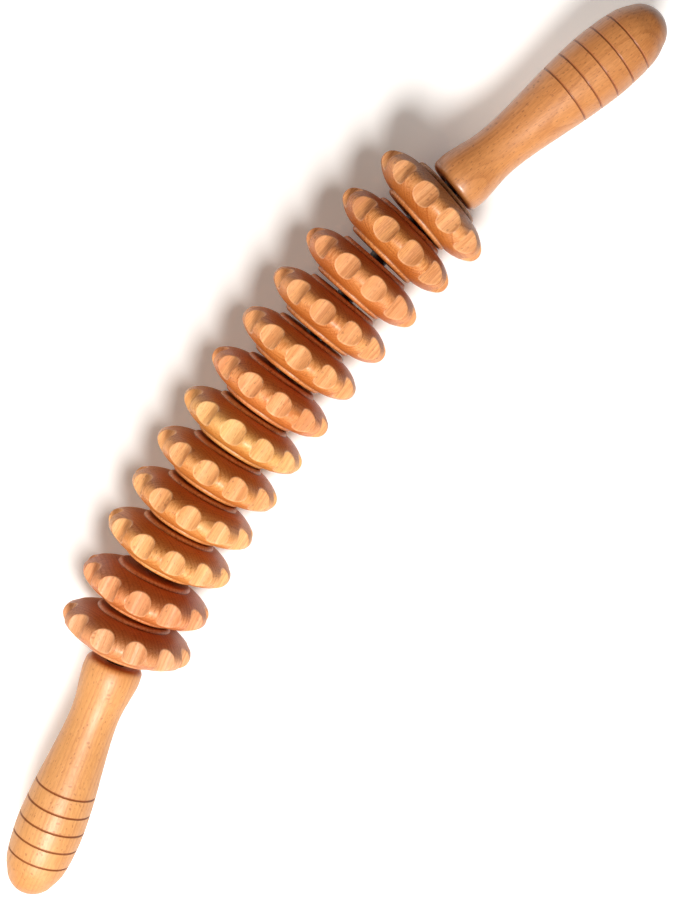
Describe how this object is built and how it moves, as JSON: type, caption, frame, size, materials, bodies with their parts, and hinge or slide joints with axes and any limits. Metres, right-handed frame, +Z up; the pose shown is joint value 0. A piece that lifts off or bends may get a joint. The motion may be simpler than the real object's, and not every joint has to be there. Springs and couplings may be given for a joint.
{
  "type": "foot massage roller",
  "caption": "Bowed hand-held massage roller: scalloped wooden rollers that spin on a bent steel rod between two turned wooden handles.",
  "frame": {"origin": "on the surface that the stick lies on, under the middle of its bounding box", "axes": "+X along the stick towards its right handle, +Y towards the outside of the bow, +Z up from the surface, square to the plane of the bow"},
  "size_m": [0.4606, 0.0796, 0.058],
  "materials": {
    "roller_wood": "turned beech, oiled, semi-gloss",
    "handle_wood": "turned beech, clear lacquer, semi-gloss",
    "rod_steel": "plain drawn steel bar",
    "insert_brass": "plain turned brass"
  },
  "bodies": {
    "core": {"core_rod": "rod_steel", "handle_left": "handle_wood", "threaded_insert_left": "insert_brass", "handle_right": "handle_wood", "threaded_insert_right": "insert_brass"},
    "roller_01": {"roller_01": "roller_wood"},
    "roller_02": {"roller_02": "roller_wood"},
    "roller_03": {"roller_03": "roller_wood"},
    "roller_04": {"roller_04": "roller_wood"},
    "roller_05": {"roller_05": "roller_wood"},
    "roller_06": {"roller_06": "roller_wood"},
    "roller_07": {"roller_07": "roller_wood"},
    "roller_08": {"roller_08": "roller_wood"},
    "roller_09": {"roller_09": "roller_wood"},
    "roller_10": {"roller_10": "roller_wood"},
    "roller_11": {"roller_11": "roller_wood"},
    "roller_12": {"roller_12": "roller_wood"}
  },
  "joints": [
    {"name": "roller_01_spin", "type": "hinge", "parent": "core", "child": "roller_01", "pos_m": [-0.10991, 0.00098, 0.029], "axis": [0.9776, 0.2107, 0], "continuous": true},
    {"name": "roller_02_spin", "type": "hinge", "parent": "core", "child": "roller_02", "pos_m": [-0.09005, 0.00469, 0.029], "axis": [0.9876, 0.157, 0], "continuous": true},
    {"name": "roller_03_spin", "type": "hinge", "parent": "core", "child": "roller_03", "pos_m": [-0.06843, 0.00748, 0.029], "axis": [0.9951, 0.0986, 0], "continuous": true},
    {"name": "roller_04_spin", "type": "hinge", "parent": "core", "child": "roller_04", "pos_m": [-0.0487, 0.00914, 0.029], "axis": [0.9976, 0.0697, 0], "continuous": true},
    {"name": "roller_05_spin", "type": "hinge", "parent": "core", "child": "roller_05", "pos_m": [-0.02893, 0.01024, 0.029], "axis": [0.9991, 0.0414, 0], "continuous": true},
    {"name": "roller_06_spin", "type": "hinge", "parent": "core", "child": "roller_06", "pos_m": [-0.00914, 0.01078, 0.029], "axis": [0.9999, 0.0131, 0], "continuous": true},
    {"name": "roller_07_spin", "type": "hinge", "parent": "core", "child": "roller_07", "pos_m": [0.01066, 0.01076, 0.029], "axis": [0.9999, -0.0151, 0], "continuous": true},
    {"name": "roller_08_spin", "type": "hinge", "parent": "core", "child": "roller_08", "pos_m": [0.03105, 0.01015, 0.029], "axis": [0.999, -0.0443, 0], "continuous": true},
    {"name": "roller_09_spin", "type": "hinge", "parent": "core", "child": "roller_09", "pos_m": [0.05141, 0.00895, 0.029], "axis": [0.9973, -0.0734, 0], "continuous": true},
    {"name": "roller_10_spin", "type": "hinge", "parent": "core", "child": "roller_10", "pos_m": [0.07173, 0.00716, 0.029], "axis": [0.9947, -0.1024, 0], "continuous": true},
    {"name": "roller_11_spin", "type": "hinge", "parent": "core", "child": "roller_11", "pos_m": [0.09247, 0.00456, 0.029], "axis": [0.9878, -0.156, 0], "continuous": true},
    {"name": "roller_12_spin", "type": "hinge", "parent": "core", "child": "roller_12", "pos_m": [0.11249, 0.00069, 0.029], "axis": [0.9749, -0.2227, 0], "continuous": true}
  ]
}
